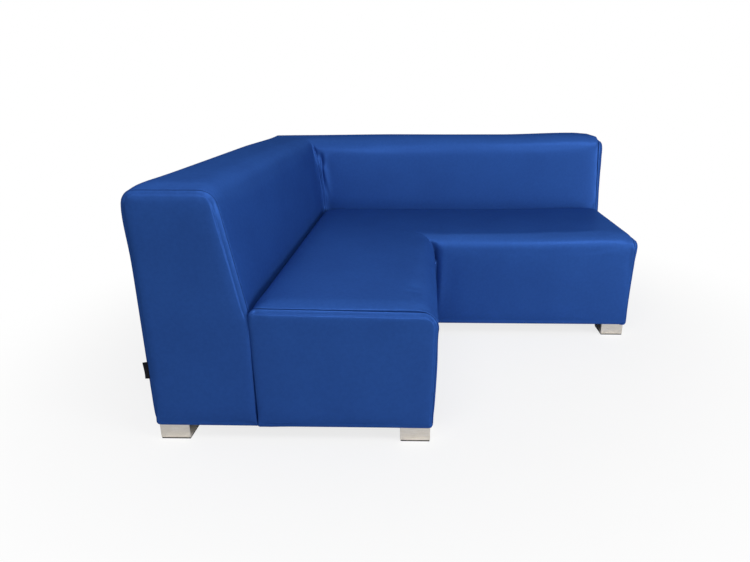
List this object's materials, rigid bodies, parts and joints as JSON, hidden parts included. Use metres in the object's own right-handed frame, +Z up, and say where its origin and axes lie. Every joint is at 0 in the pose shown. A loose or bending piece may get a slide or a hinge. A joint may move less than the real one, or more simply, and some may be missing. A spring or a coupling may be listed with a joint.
{
  "type": "corner sofa",
  "caption": "L-shaped corner sofa with raked low backs, block seats in smooth blue faux leather and square steel block feet.",
  "frame": {"origin": "on the floor under the centre of the overall bounding box", "axes": "+X to the right along the longer, rear wing, +Y to the rear, +Z up; the left wing comes forward along -Y"},
  "size_m": [1.639, 1.556, 0.749],
  "materials": {
    "cover": "satin",
    "foam": "matte",
    "plywood": "matte",
    "hardboard": "matte",
    "webbing": "matte",
    "dust_cover": "matte",
    "label": "matte",
    "foot_steel": "satin",
    "glide_plastic": "matte",
    "zinc_steel": "satin"
  },
  "bodies": {
    "root": {"back_band_left": "cover", "back_band_right": "cover", "back_base_board_left": "plywood", "back_base_board_right": "plywood", "back_end_foam_left": "foam", "back_end_foam_right": "foam", "back_end_panel_left": "cover", "back_end_panel_right": "cover", "back_foam_left": "foam", "back_foam_right": "foam", "back_front_panel_left": "plywood", "back_front_panel_right": "plywood", "back_lower_board_left": "plywood", "back_lower_board_right": "plywood", "back_rear_foam_left": "foam", "back_rear_foam_right": "foam", "back_rear_panel_left": "hardboard", "back_rear_panel_right": "hardboard", "back_ribs_left": "plywood", "back_ribs_right": "plywood", "back_top_rail_left": "plywood", "back_top_rail_right": "plywood", "dust_cover_left": "dust_cover", "dust_cover_right": "dust_cover", "foot_glide_corner_inner": "glide_plastic", "foot_glide_corner_outer": "glide_plastic", "foot_glide_left_inner": "glide_plastic", "foot_glide_left_outer": "glide_plastic", "foot_glide_right_inner": "glide_plastic", "foot_glide_right_outer": "glide_plastic", "foot_screws": "zinc_steel", "foot_shell_corner_inner": "foot_steel", "foot_shell_corner_outer": "foot_steel", "foot_shell_left_inner": "foot_steel", "foot_shell_left_outer": "foot_steel", "foot_shell_right_inner": "foot_steel", "foot_shell_right_outer": "foot_steel", "label_loop": "label", "module_bolts": "zinc_steel", "module_nuts": "zinc_steel", "seat_band": "cover", "seat_base_board_left": "plywood", "seat_base_board_right": "plywood", "seat_border_foam_left": "foam", "seat_border_foam_right": "foam", "seat_cross_rails": "plywood", "seat_end_foam_left": "foam", "seat_end_foam_right": "foam", "seat_end_panel_left": "cover", "seat_end_panel_right": "cover", "seat_end_rail_left": "plywood", "seat_end_rail_right": "plywood", "seat_foam_left": "foam", "seat_foam_right": "foam", "seat_front_rail_left": "plywood", "seat_front_rail_right": "plywood", "seat_rear_rail_left": "plywood", "seat_rear_rail_right": "plywood", "webbing_left": "webbing", "webbing_right": "webbing"}
  },
  "joints": []
}
